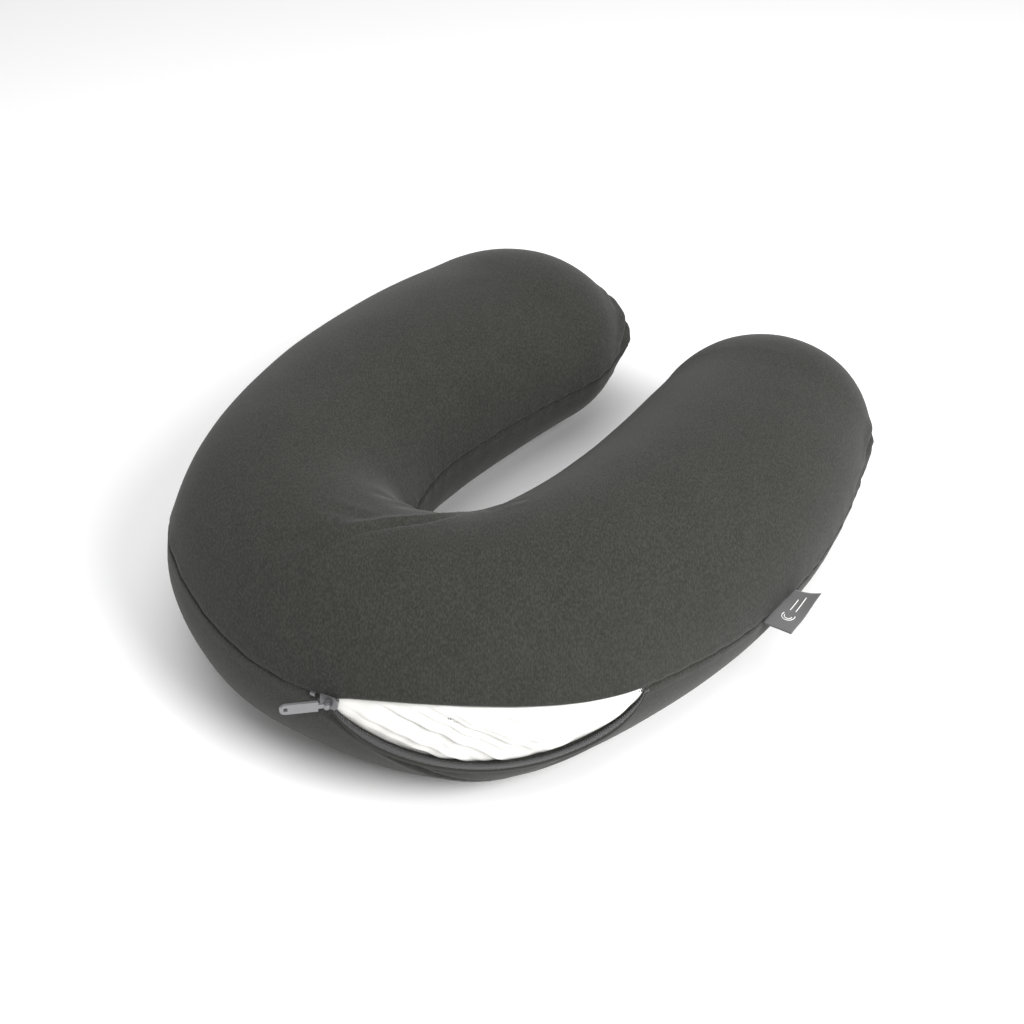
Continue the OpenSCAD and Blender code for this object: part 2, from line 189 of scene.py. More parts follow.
class Plan:
    """The crescent's centre line and cross-section. The distance s runs along the centre line
    from the middle of the round back, and is positive towards the right arm. Angles across
    start at the outer seam, a quarter turn is the top and a half turn the inner seam."""

    soft_edge = 0.006      # roundness of the edge of the resting face
    least = 0.0005         # smallest half size of a hidden shell
    ease = 0.028           # run over which a change of size is evened out

    def __init__(self):
        shape, self.z = settings()[:2]
        self.o = shape
        self.origin = np.array([ARC_CENTRE[0], ARC_CENTRE[1] - shape.bend_r])
        self.bend_len = shape.bend_r * shape.bend_angle
        self.arm_len = shape.near_len + shape.far_len
        self.flex_at = self.bend_len + shape.flex_past
        self.seam_r = shape.bend_r + shape.back_w
        self.straight = self.bend_len + self.arm_len
        self.zip_run = (self.z.end_at - self.z.open_at) * self.seam_r

    def runs(self, s):
        d = np.abs(s)
        a, b = self.bend_len, self.bend_len + self.o.near_len
        return (np.minimum(d, a), np.clip(d - a, 0, self.o.near_len),
                np.clip(d - b, 0, self.o.far_len), np.maximum(d - self.straight, 0))

    def spine(self, s):
        """Points of the centre line, and its outward and forward directions."""
        s = np.asarray(s, float)
        o, run = self.o, self.runs(s)
        near_turn = np.where(s < 0, o.near_turn_left, o.near_turn_right)
        far_turn = np.where(s < 0, o.far_turn_left, o.far_turn_right)
        bends = (1 / o.bend_r, near_turn / o.near_len, far_turn / o.far_len)
        p, heading = np.zeros(s.shape + (2,)), np.zeros(s.shape)
        for travel, bend in zip(run, bends):
            turn = bend * travel
            step = np.stack([np.sin(turn) / bend, (1 - np.cos(turn)) / bend], -1)
            p, heading = p + spun(step, heading), heading + turn
        p = p + spun(np.stack([run[3], 0 * run[3]], -1), heading)
        side = np.where(s < 0, -1.0, 1.0)
        p[..., 0] *= side
        out = np.stack([side * np.sin(heading), -np.cos(heading)], -1)
        along = np.stack([np.cos(heading), side * np.sin(heading)], -1)
        return self.origin + p, out, along

    def bezier(self, s, a, b, c, d):
        """A size that runs along an arm from a to d, drawn towards b and c on its way."""
        total = 0
        # averaged over a short run, so that the slope changes softly at both ends
        for offset, weight in zip(np.linspace(-self.ease, self.ease, 5), (1, 2, 3, 2, 1)):
            t = np.clip((np.abs(s) + offset - self.bend_len) / self.arm_len, 0, 1)
            u = 1 - t
            total = total + weight * (u ** 3 * a + 3 * u * u * t * b + 3 * u * t * t * c + t ** 3 * d)
        return total / 9

    def half_w(self, s):
        o = self.o
        left = self.bezier(s, o.back_w, o.left_near_w, o.left_far_w, o.left_tip_w)
        right = self.bezier(s, o.back_w, o.right_near_w, o.right_far_w, o.right_tip_w)
        return np.where(np.asarray(s) < 0, left, right)

    def half_h(self, s):
        return self.bezier(s, self.o.back_h, self.o.near_h, self.o.far_h, self.o.tip_h)

    def tip_w(self, s):
        return np.where(np.asarray(s) < 0, self.o.left_tip_w, self.o.right_tip_w)

    def rounding(self, s):
        u = self.runs(s)[3] / self.tip_w(s)
        return np.sqrt(np.maximum(1 - u * u, 0))

    def settle(self, z, depth):
        """Flattens the underside where it rests, with a rounded edge."""
        low = z - depth
        soft = 0.5 * (low + np.sqrt(low * low + self.soft_edge ** 2))
        deepest = (self.o.seat - 1) * self.o.back_h
        base = 0.5 * (deepest + math.sqrt(deepest ** 2 + self.soft_edge ** 2))
        return soft - base * (1 - smooth(low / 0.04)) + depth

    def skin(self, s, across, depth=0.0):
        """Points of the shell at a depth below the cover's outside."""
        s, across, depth = np.broadcast_arrays(*(np.asarray(v, float) for v in (s, across, depth)))
        p, out, _ = self.spine(s)
        r = self.rounding(s)
        w = np.maximum(self.half_w(s) * r - depth, self.least)
        h = np.maximum(self.half_h(s) * r - depth, self.least)
        xy = p + out * (w * np.cos(across))[..., None]
        z = self.settle(self.o.seat * self.half_h(s) + h * np.sin(across), depth)
        return np.concatenate([xy, z[..., None]], -1)

    def turn_at(self, s):
        return np.asarray(s) / self.o.bend_r

    def place_at(self, turn):
        return np.asarray(turn) * self.o.bend_r

    def gape(self, turn):
        """Share of the opening's full height, from 0 at the slider and the top stops."""
        return self.bow(turn, 1.1, 0.62)

    def bow(self, turn, skew, power):
        """A bow from the slider to the top stops: a skew above 1 moves its crown to the right."""
        u = np.clip((turn - self.z.open_at) / (self.z.end_at - self.z.open_at), 0, 1)
        return np.sin(np.pi * u ** skew) ** power * (u < 1)

    def rise(self, turn):
        """Height of the zip's line or the seam above the widest line."""
        tilted = self.seam_r * math.tan(self.z.tilt)
        inside = tilted * np.sin(np.clip(self.z.end_at - turn, 0, math.pi / 2))
        left = tilted * math.sin(self.z.end_at) * smooth(1 + turn / self.z.fall)
        left = left + self.z.pulled * (np.exp(-((turn + 0.8) / 0.5) ** 2) - math.exp(-2.56))
        raised = np.where(turn > 0, inside, np.maximum(left, 0))
        return raised - self.o.back_h * np.sin(self.droop(turn))

    def droop(self, turn):
        """Fall of the right arm's seam, fullest at the side label."""
        s, at = self.place_at(turn), self.z.label_at
        return (self.z.droop * smooth((s - self.bend_len) / (at - self.bend_len))
                * (1 - smooth((s - at) / (self.straight - at))))

    def lift(self, height):
        return np.arcsin(np.clip(height / self.o.back_h, -1, 1))

    def lips(self, turn):
        """Heights of the opening's upper and lower edge above the widest line."""
        opened, rise = self.gape(turn), self.rise(turn)
        return (rise + self.z.slot + self.z.gape_up * self.bow(turn, 0.75, 1.2),
                rise - self.z.slot - self.z.gape_down * opened)

    def rings(self, step, tip_rings, end=0.9997):
        """Places of the rings from the left tip to the right tip."""
        count = int(round(self.straight / step))
        half = np.linspace(0, self.straight, count + 1)
        theta = np.linspace(0, math.asin(end), tip_rings + 1)[1:]
        left = self.straight + self.o.left_tip_w * np.sin(theta)
        right = self.straight + self.o.right_tip_w * np.sin(theta)
        return np.concatenate([-left[::-1], -half[:0:-1], half, right])


# ---- Meshes from rows of points --------------------------------------------------------------


def loop_faces(rows, cols):
    """Faces between closed rings, each ring a row of cols points."""
    i, j = np.meshgrid(np.arange(rows - 1), np.arange(cols), indexing="ij")
    k = (j + 1) % cols
    a, b = i * cols, (i + 1) * cols
    return np.stack([a + j, b + j, b + k, a + k], -1).reshape(-1, 4).tolist()


def sheet_faces(rows, cols):
    """Faces between open rows of cols points."""
    i, j = np.meshgrid(np.arange(rows - 1), np.arange(cols - 1), indexing="ij")
    a = i * cols + j
    return np.stack([a, a + cols, a + cols + 1, a + 1], -1).reshape(-1, 4).tolist()


def fan(ring, tip, flip):
    """Triangles between a ring of point numbers and one tip point."""
    pairs = zip(ring.tolist(), np.roll(ring, -1).tolist())
    return [[b, a, tip] if flip else [a, b, tip] for a, b in pairs]


def closed_faces(rows, cols):
    """Faces of rings whose two ends close on a point each, the last two points."""
    ring, tip = np.arange(cols), rows * cols
    return (loop_faces(rows, cols) + fan(ring, tip, False)
            + fan(ring + (rows - 1) * cols, tip + 1, True))


def new_object(name, points, faces, material, soft=True):
    mesh = bpy.data.meshes.new(name)
    mesh.from_pydata([tuple(p) for p in points], [], faces)
    mesh.materials.append(material)
    mesh.update()
    if soft:
        mesh.shade_smooth()
    made = bpy.data.objects.new(name, mesh)
    bpy.context.scene.collection.objects.link(made)
    return made


def keep_place(piece, values, name="cloth"):
    """Stores a vector for each point, which the finish uses as the place on the cloth."""
    attribute = piece.data.attributes.get(name)
    attribute = attribute or piece.data.attributes.new(name, "FLOAT_VECTOR", "POINT")
    attribute.data.foreach_set("vector", np.asarray(values, np.float32).ravel())
    return piece


def grid_normals(grid, closed):
    """Unit normals of a grid of points (rows, columns, 3)."""
    along = np.gradient(grid, axis=0)
    if closed:
        around = (np.roll(grid, -1, axis=1) - np.roll(grid, 1, axis=1)) / 2
    else:
        around = np.gradient(grid, axis=1)
    return unit(np.cross(along, around))


def tube(path, radius, sides, side=None):
    """Points and faces of a closed tube along a path, with rounded ends."""
    path = np.asarray(path, float)
    tangent = unit(np.gradient(path, axis=0))
    side = unit(np.cross(tangent, UP)) if side is None else side
    lift = unit(np.cross(side, tangent))
    side = unit(np.cross(tangent, lift))
    turn = np.arange(sides) * 2 * math.pi / sides
    ring = (side[:, None] * np.cos(turn)[None, :, None]
            + lift[:, None] * np.sin(turn)[None, :, None]) * radius
    points = (path[:, None] + ring).reshape(-1, 3)
    ends = np.stack([path[0] - tangent[0] * radius * 0.5, path[-1] + tangent[-1] * radius * 0.5])
    return np.concatenate([points, ends]), closed_faces(len(path), sides)


class Heap:
    """Gathers many small meshes into one."""

    def __init__(self):
        self.points, self.faces, self.count = [], [], 0

    def add(self, points, faces):
        self.points.append(np.asarray(points, float))
        self.faces += [[k + self.count for k in face] for face in faces]
        self.count += len(points)

    def made(self, name, material):
        return new_object(name, np.concatenate(self.points), self.faces, material)


# ---- Folds, puckers and lumps ----------------------------------------------------------------


def near_path(points, normals, path):
    """For each point: signed distance from a path, positive on its left, how far along the path
    the nearest place is, from 0 to 1, and the distance from that place."""
    best = np.full(len(points), 1e9)
    signed, place = np.zeros(len(points)), np.zeros(len(points))
    steps = np.linalg.norm(np.diff(path, axis=0), axis=1)
    total, run = steps.sum(), 0.0
    for a, b, step in zip(path[:-1], path[1:], steps):
        t = np.clip((points - a) @ (b - a) / step ** 2, 0, 1)
        gap = points - a - t[:, None] * (b - a)
        d = np.linalg.norm(gap, axis=1)
        side = np.sign(np.einsum("ij,ij->i", np.cross(b - a, gap), normals))
        closer = d < best
        best = np.where(closer, d, best)
        signed = np.where(closer, d * side, signed)
        place = np.where(closer, (run + t * step) / total, place)
        run += step
    return signed, place, best


def fold(points, normals, path, depth, width, crest=(0.5, 0.5)):
    """Height of a fold: a narrow valley along a path, with a soft crest on each side."""
    x, place, far = near_path(points, normals, path)
    taper = np.sin(np.pi * np.clip(0.06 + 0.88 * place, 0, 1)) ** 0.7
    # past a fold's ends the distance grows, so the height fades by itself
    x = np.where(np.abs(x) < far * 0.999, np.copysign(far, x), x)
    valley = -np.exp(-(x / width) ** 2)
    left = crest[0] * np.exp(-((x - 2.1 * width) / (1.5 * width)) ** 2)
    right = crest[1] * np.exp(-((x + 2.1 * width) / (1.5 * width)) ** 2)
    return depth * taper * (valley + left + right)


def lumps(points, seed, wave, count=9):
    """A soft random height between about -1 and 1, with features of about one wave's length."""
    rng = np.random.default_rng(seed)
    total = np.zeros(len(points))
    for _ in range(count):
        direction = unit(rng.normal(size=3))
        pace = 2 * math.pi / (wave * rng.uniform(0.7, 1.5))
        total += np.sin(points @ direction * pace + rng.uniform(0, 6.3))
    return total / math.sqrt(count)


def drift(s, seed, wave, count=7):
    """A soft random height along one line."""
    rng = np.random.default_rng(seed)
    total = 0 * np.asarray(s, float)
    for _ in range(count):
        pace = 2 * math.pi / (wave * rng.uniform(0.6, 1.6))
        total = total + np.sin(s * pace + rng.uniform(0, 6.3))
    return total / math.sqrt(count)


def surface_path(plan, marks, count=18):
    """A smooth path on the cover through marks of (distance in mm, angle in degrees)."""
    marks = np.array(marks, float)
    t = np.linspace(0, len(marks) - 1, count)
    k = np.arange(len(marks))
    s = np.interp(t, k, marks[:, 0]) * MM
    across = np.radians(np.interp(t, k, marks[:, 1]))
    return plan.skin(s, across)


# ---- Cloth simulation ------------------------------------------------------------------------

SIM_DEPTH = 0.0015     # the copy starts this far below the cover, because it swells
SIM_VOXEL = 0.0055     # size of the copy's mesh
SIM_SLACK = 0.16       # share by which the cloth is longer where it is slack
SIM_STEPS = 20


def edges_of(mesh):
    edges = np.zeros(len(mesh.edges) * 2, int)
    mesh.edges.foreach_get("vertices", edges)
    return edges.reshape(-1, 2)


def places_of(mesh):
    co = np.zeros(len(mesh.vertices) * 3, np.float32)
    mesh.vertices.foreach_get("co", co)
    return co.reshape(-1, 3).astype(float)


def evened(values, edges, passes):
    """Values smoothed over a mesh's edges."""
    degree = np.maximum(np.bincount(edges.ravel(), minlength=len(values)), 1)
    for _ in range(passes):
        total = np.bincount(edges[:, 0], values[edges[:, 1]], len(values))
        total += np.bincount(edges[:, 1], values[edges[:, 0]], len(values))
        values = 0.5 * values + 0.5 * total / degree
    return values


def inflated(plan, slack_marks):
    """Inflates a coarse copy of the cover, slack around the marks, and returns its points and
    how far each one stands off its smoothed self."""
    s, cols = plan.rings(0.009, 10), 56
    across = np.arange(cols) * 2 * math.pi / cols
    points = plan.skin(s[:, None], across[None, :], SIM_DEPTH).reshape(-1, 3)
    last = (len(s) - 1) * cols
    faces = loop_faces(len(s), cols) + [list(range(cols)), [last + k for k in range(cols)][::-1]]
    body = new_object("inflated_copy", points, faces, None)
    bpy.context.view_layer.objects.active = body
    body.select_set(True)
    remesh = body.modifiers.new("remesh", "REMESH")
    remesh.mode, remesh.voxel_size = "VOXEL", SIM_VOXEL
    bpy.ops.object.modifier_apply(modifier=remesh.name)
    before = places_of(body.data)
    slack = np.zeros(len(before))
    for centre, reach in slack_marks:
        slack = np.maximum(slack, np.exp(-(np.linalg.norm(before - centre, axis=1) / reach) ** 2))
    group = body.vertex_groups.new(name="slack")
    for number, weight in enumerate(slack):
        group.add([number], float(weight), "REPLACE")
    cloth = body.modifiers.new("cloth", "CLOTH")
    cloth.settings.use_pressure, cloth.settings.uniform_pressure_force = True, 4
    cloth.settings.effector_weights.gravity = 0
    cloth.settings.vertex_group_shrink = group.name
    cloth.settings.shrink_min, cloth.settings.shrink_max = 0.0, -SIM_SLACK
    cloth.settings.bending_stiffness = 0.3
    scene = bpy.context.scene
    for number in range(1, SIM_STEPS + 1):
        scene.frame_set(number)
    bpy.ops.object.modifier_apply(modifier=cloth.name)
    scene.frame_set(1)
    after, edges = places_of(body.data), edges_of(body.data)
    normals = np.zeros(len(before) * 3, np.float32)
    body.data.vertices.foreach_get("normal", normals)
    rise = np.einsum("ij,ij->i", after - before, normals.reshape(-1, 3))
    rise = evened(rise, edges, 1) - evened(rise, edges, 60)
    bpy.data.objects.remove(body)
    return before, rise


def carried(points, sources, values, nearest=5):
    """Values at points, taken from the nearest sources."""
    tree = KDTree(len(sources))
    for number, place in enumerate(sources):
        tree.insert(place, number)
    tree.balance()
    out = np.zeros(len(points))
    for number, place in enumerate(points):
        found = tree.find_n(place, nearest)
        weight = np.array([1 / (f[2] + 0.0008) ** 2 for f in found])
        out[number] = (weight * values[[f[1] for f in found]]).sum() / weight.sum()
    return out


# ---- Shaders ---------------------------------------------------------------------------------


class Value:
    """A shader value. Arithmetic on it adds Math nodes, and node() adds any other node."""

    def __init__(self, tree, socket=None):
        self.tree, self.socket = tree, socket

    def node(self, kind, options=(), values=(), output=0):
        made = self.tree.nodes.new(kind)
        for key, value in dict(options).items():
            if key == "stops":
                ramp = made.color_ramp
                for number, (place, tint) in enumerate(value):
                    stop = ramp.elements[number] if number < 2 else ramp.elements.new(place)
                    stop.position, stop.color = place, tint
            else:
                setattr(made, key, value)
        for key, value in dict(values).items():
            if isinstance(value, Value):
                self.tree.links.new(value.socket, made.inputs[key])
            else:
                made.inputs[key].default_value = value
        return Value(self.tree, made.outputs[output])

    def maths(self, operation, *terms):
        return self.node("ShaderNodeMath", {"operation": operation}, enumerate(terms))

    def __add__(self, other):
        return self.maths("ADD", self, other)

    __radd__ = __add__

    def __sub__(self, other):
        return self.maths("SUBTRACT", self, other)

    def __rsub__(self, other):
        return self.maths("SUBTRACT", other, self)

    def __mul__(self, other):
        return self.maths("MULTIPLY", self, other)

    __rmul__ = __mul__

    def between(self, low, high):
        """0 below low, 1 above high, and a smooth step between them."""
        return self.node("ShaderNodeMapRange", {"interpolation_type": "SMOOTHSTEP"},
                         {"Value": self, "From Min": low, "From Max": high})

    def mixed(self, a, b):
        """Colour a where this value is 0 and colour b where it is 1."""
        return self.node("ShaderNodeMix", {"data_type": "RGBA", "clamp_factor": True},
                         {0: self, 6: a, 7: b}, 2)

    def scaled(self, amount):
        """This vector, each part times a number."""
        return self.node("ShaderNodeVectorMath", {"operation": "MULTIPLY"}, {0: self, 1: amount})

    def noise(self, scale, detail=2.0, rough=0.5):
        return self.node("ShaderNodeTexNoise", {}, {"Vector": self, "Scale": scale, "Detail": detail,
                                                    "Roughness": rough})


def rgba(tint, gain=1.0):
    return tuple(min(c * gain, 1) for c in tint) + (1.0,)


class Finish:
    """A material with one Principled BSDF."""

    def __init__(self, name, place="cloth", **constants):
        self.material = bpy.data.materials.new(name)
        self.material.use_nodes = True
        self.tree = self.material.node_tree
        self.shader = self.tree.nodes["Principled BSDF"]
        for key, value in constants.items():
            self.shader.inputs[key.replace("_", " ")].default_value = value
        start = Value(self.tree)
        if place == "object":
            self.place = start.node("ShaderNodeTexCoord", output=3)
        else:
            self.place = start.node("ShaderNodeAttribute", {"attribute_name": place}, output=1)

    def set(self, **links):
        for key, value in links.items():
            self.tree.links.new(value.socket, self.shader.inputs[key.replace("_", " ")])
        return self

    def bump(self, height, strength, distance):
        normal = self.place.node("ShaderNodeBump", {}, {"Height": height, "Strength": strength,
                                                        "Distance": distance})
        return self.set(Normal=normal)


def jersey_finish(name, colours):
    """Heathered single jersey: dark and light yarns in short streaks along the grain."""
    finish = Finish(name, Sheen_Weight=0.10, Sheen_Roughness=0.5, Specular_IOR_Level=0.15)
    yarn = finish.place.noise(1150, 3.0, 0.6)
    fleck = finish.place.noise(1900, 1.0, 0.5)
    cloud = finish.place.scaled((1.0, 1.6, 1.6)).noise(46, 3.0, 0.55)
    mix = (yarn.between(0.36, 0.68) * 0.68 + fleck.between(0.35, 0.7) * 0.22
           + cloud.between(0.3, 0.7) * 0.10)
    tint = mix.mixed(rgba(colours.jersey_dark), rgba(colours.jersey_light))
    finish.set(Base_Color=tint, Roughness=0.86 + yarn * 0.12)
    return finish.bump(yarn * 0.6 + fleck * 0.4, 0.35, 0.0005).material


def casing_finish(name, colours):
    """Fine plain weave with a slight slub."""
    finish = Finish(name, Sheen_Weight=0.15, Specular_IOR_Level=0.25)
    warp = finish.place.scaled((1.0, 0.12, 1.0)).noise(2600, 2.0, 0.6)
    weft = finish.place.scaled((0.12, 1.0, 1.0)).noise(2600, 2.0, 0.6)
    cloud = finish.place.noise(60, 2.0, 0.5)
    mix = warp * 0.35 + weft * 0.35 + cloud * 0.3
    tint = mix.between(0.25, 0.7).mixed(rgba(colours.casing, 0.93), rgba(colours.casing, 1.04))
    finish.set(Base_Color=tint, Roughness=0.82 + mix * 0.14)
    return finish.bump(warp + weft, 0.25, 0.0002).material


def tape_finish(name, colours):
    """Twill tape with slanting ribs and a slight fuzz."""
    finish = Finish(name, Sheen_Weight=0.2, Specular_IOR_Level=0.3)
    ribs = finish.place.node("ShaderNodeTexWave", {"bands_direction": "DIAGONAL"},
                             {"Vector": finish.place, "Scale": 330.0, "Distortion": 0.6, "Detail": 1.0})
    fuzz = finish.place.noise(1500, 2.0, 0.6)
    mix = ribs * 0.6 + fuzz * 0.4
    tint = mix.mixed(rgba(colours.tape, 0.55), rgba(colours.tape, 1.9))
    finish.set(Base_Color=tint, Roughness=0.72 + fuzz * 0.2)
    return finish.bump(ribs * 0.7 + fuzz * 0.3, 0.4, 0.0003).material


def coil_finish(name, colours):
    """Nylon coil, slightly dusty in patches."""
    finish = Finish(name, place="object", Specular_IOR_Level=0.5)
    grain = finish.place.noise(900, 2.0, 0.6)
    tint = grain.between(0.35, 0.7).mixed(rgba(colours.coil, 0.8), rgba(colours.coil, 1.9))
    finish.set(Base_Color=tint, Roughness=0.32 + grain * 0.2)
    return finish.bump(grain, 0.15, 0.0002).material


def metal_finish(name, tint, wear):
    """Enamelled die casting: a slight orange peel, and thin scratches where it rubs."""
    finish = Finish(name, place="object", Specular_IOR_Level=0.6, Coat_Roughness=0.2)
    peel = finish.place.noise(1100, 2.0, 0.5)
    scratch = finish.place.scaled((1.0, 0.08, 0.35)).noise(2400, 3.0, 0.7).between(0.6, 0.68)
    patch = finish.place.noise(260, 2.0, 0.6).between(0.4, 0.7)
    bare = scratch * patch * wear
    finish.set(Base_Color=bare.mixed(rgba(tint), rgba((0.55, 0.54, 0.52))),
               Metallic=0.55 + bare * 0.45, Roughness=0.3 + peel * 0.12 + bare * 0.1,
               Coat_Weight=0.5 - bare * 0.5)
    return finish.bump(peel - scratch * 0.4, 0.2, 0.0002).material


def label_finish(name, tint, gloss):
    """Woven ribbon: close satin ribs across its length."""
    finish = Finish(name, Sheen_Weight=0.2, Specular_IOR_Level=0.35)
    ribs = finish.place.node("ShaderNodeTexWave", {"bands_direction": "X"},
                             {"Vector": finish.place, "Scale": 420.0, "Distortion": 0.4, "Detail": 1.0})
    threads = finish.place.scaled((0.2, 1.0, 1.0)).noise(2400, 2.0, 0.6)
    mix = ribs * 0.5 + threads * 0.5
    finish.set(Base_Color=mix.mixed(rgba(tint, 0.72), rgba(tint, 1.25)), Roughness=gloss + threads * 0.2)
    return finish.bump(mix, 0.3, 0.0002).material


def beads_finish(name, colours):
    """Fused cells of expanded beads, about 3 mm each, with painted shade in the crevices between them.
    """
    finish = Finish(name, Specular_IOR_Level=0.3)
    crevice_shade_and_depth = finish.place.node("ShaderNodeTexVoronoi", {}, {"Vector": finish.place, "Scale": 320.0})
    grain = finish.place.noise(1400, 2.0, 0.5)
    # painted shade: each bead's colour darkens by a fifth towards its edge, where the crevices between
    # beads lie
    tint = crevice_shade_and_depth.between(0.2, 0.75).mixed(rgba(colours.beads), rgba(colours.beads, 0.8))
    finish.set(Base_Color=tint, Roughness=0.6 + grain * 0.2)
    return finish.bump(1 - crevice_shade_and_depth, 0.8, 0.001).material


def thread_finish(name, tint):
    """Twisted sewing thread."""
    finish = Finish(name, place="object", Sheen_Weight=0.2)
    twist = finish.place.noise(2600, 1.0, 0.5)
    finish.set(Base_Color=twist.mixed(rgba(tint, 0.7), rgba(tint, 1.4)), Roughness=0.6 + twist * 0.2)
    return finish.bump(twist, 0.3, 0.0002).material


def shared_finish(name, build):
    """The finish of that name, built once for all the pieces that use it."""
    return bpy.data.materials.get(name) or build(name, settings()[3])


# ---- Cover -----------------------------------------------------------------------------------

# Upper pocket behind a lip, from the lip inwards: mm beyond the lip's edge (positive is behind
# the cover) and share of the pocket's depth
POCKET = ((0.0, 0.0), (-0.45, 0.08), (-0.75, 0.26), (-0.5, 0.45), (0.4, 0.6), (1.4, 0.78),
          (1.2, 0.94), (-1.2, 1.0))
MIDDLE = 6             # columns on the floor between the two pockets
FLOOR_CROWN = 0.28     # how far the floor between the lips bulges back out, as a share of its depth
GROOVE = 0.0009        # depth of the closed seam
# Columns from the upper lip over the top, down the inside, under and back to the lower lip
SPANS = (42, 40, 36, 42)


def opening_share(plan, turn):
    """How much of the pocket's full shape there is."""
    return smooth(plan.gape(turn) * 2.4)


def cover_columns(plan, s):
    """Angle and depth of each column at each ring."""
    turn = plan.turn_at(s)
    upper, lower = plan.lips(turn)
    opened = opening_share(plan, turn)
    pocket = np.array(POCKET)
    # offsets measured down from the upper lip and up from the lower lip
    inner_u = upper[:, None] + opened[:, None] * pocket[None, :, 0] * MM
    inner_l = lower[:, None] - opened[:, None] * pocket[None, ::-1, 0] * MM
    side = len(POCKET)
    whole = 2 * side + MIDDLE
    even = upper[:, None] + (lower - upper)[:, None] * (np.arange(whole) / (whole - 1))[None, :]
    t = (np.arange(1, MIDDLE + 1) / (MIDDLE + 1))[None, :]
    middle = inner_u[:, -1:] * (1 - t) + inner_l[:, :1] * t
    shaped = np.concatenate([inner_u, middle, inner_l], 1)
    height = even * (1 - opened[:, None]) + shaped * opened[:, None]
    deep = np.concatenate([pocket[:, 1], 1 - FLOOR_CROWN * np.sin(np.pi * t[0]) ** 0.8, pocket[::-1, 1]])
    closed = GROOVE * np.exp(-((np.arange(whole) / (whole - 1) - 0.5) / 0.2) ** 2)
    depth = opened[:, None] * deep[None, :] * plan.z.pocket + (1 - opened[:, None]) * closed[None, :]
    inside = plan.lift(height)                       # from the upper lip down to the lower lip
    outside = []
    marks = (inside[:, 0], np.full(len(s), math.pi / 2), np.full(len(s), math.pi),
             np.full(len(s), 1.5 * math.pi), 2 * math.pi + inside[:, -1])
    for number, count in enumerate(SPANS):
        t = np.arange(1, count + 1) / count
        t = t ** 1.7 if number in (0, 2) else 1 - (1 - t) ** 1.7
        if number == 3:
            t = t[:-1]
        outside.append(marks[number][:, None] * (1 - t) + marks[number + 1][:, None] * t)
    outside = np.concatenate(outside, 1)
    across = np.concatenate([inside[:, ::-1], outside], 1)
    depths = np.concatenate([depth[:, ::-1], 0 * outside], 1)
    return across, depths


# Folds of the cover: places along (mm, degrees), depth and width in mm, and the two crests
FOLDS = (
    # the valley at the root of the gap between the arms
    (((66, 120), (44, 108), (25, 100), (10, 90), (4, 84), (0, 77)), 2.8, 2.4, (0.35, 0.8)),
    (((-22, 91), (-10, 94), (0, 96), (9, 97)), 1.5, 3.6, (0.5, 0.5)),
    (((-26, 60), (-20, 67), (-15, 74)), 1.2, 6.0, (0.3, 0.6)),
    (((8, 122), (18, 138), (22, 160)), 1.4, 4.5, (0.6, 0.5)),
    (((-24, 124), (-17, 142), (-14, 164)), 1.3, 4.5, (0.5, 0.6)),
    # the small pinch on the right arm's inner edge
    (((92, 117), (104, 120), (118, 119), (130, 116)), 1.8, 2.4, (0.3, 0.8)),
    # loose cloth below the open zip
    (((18, 6), (23, 2), (36, -9), (54, -29), (70, -38)), 2.6, 2.4, (0.7, 0.5)),
    (((84, -42), (104, -34), (122, -18)), 1.0, 4.0, (0.4, 0.5)),
    # tension lines from the slider
    (((16, 22), (8, 30), (-6, 40)), 0.7, 4.0, (0.5, 0.5)),
    (((12, 14), (-4, 20), (-26, 27)), 0.8, 4.0, (0.5, 0.5)),
    # the gathered tips
    (((-452, 176), (-466, 172), (-480, 166), (-490, 150)), 2.6, 2.4, (0.9, 0.6)),
    (((-446, 192), (-458, 186), (-472, 184), (-484, 178)), 2.6, 2.6, (0.8, 0.5)),
    (((-470, 150), (-478, 146), (-486, 138)), 1.2, 2.6, (0.7, 0.5)),
    (((386, 8), (396, 9), (408, 8), (422, 6)), 1.8, 2.4, (0.8, 0.5)),
    (((372, -4), (384, -6), (400, -5)), 1.4, 2.6, (0.7, 0.5)),
    (((352, 6), (366, 4), (380, 3)), 1.0, 2.6, (0.5, 0.5)),
)

# Bumps of the cover: place (mm, degrees), reach in mm and height in mm
BUMPS = (
    (-474, 170, 13, 5.2), (-462, 182, 12, 4.4), (-483, 150, 12, 2.8),
    (412, 3, 14, 1.8), (394, 1, 12, 1.2), (-12, 78, 22, 0.8),
    # cloth that hangs below the open zip, is pulled tight beside it and swells at the left rim
    (76, -40, 36, 3.5), (4, -44, 46, -4.5), (-86, 4, 46, 3.5),
)

SLACK = ((0, 150, 45), (30, 120, 40), (-30, 120, 40), (-470, 175, 45), (425, 0, 45), (70, -30, 50))


def wrapped(across):
    """Angles across, counted from -180 to 180 degrees."""
    return np.where(across > math.pi, across - 2 * math.pi, across)


def seam_height(plan, s, across):
    """Distance from the outer seam or the inner seam, in metres, along the cover."""
    turn = plan.turn_at(s)
    outer = np.abs(wrapped(across) - plan.lift(plan.rise(turn))) * plan.o.back_h
    inner = np.abs(across - math.pi) * plan.o.back_h
    return outer, inner


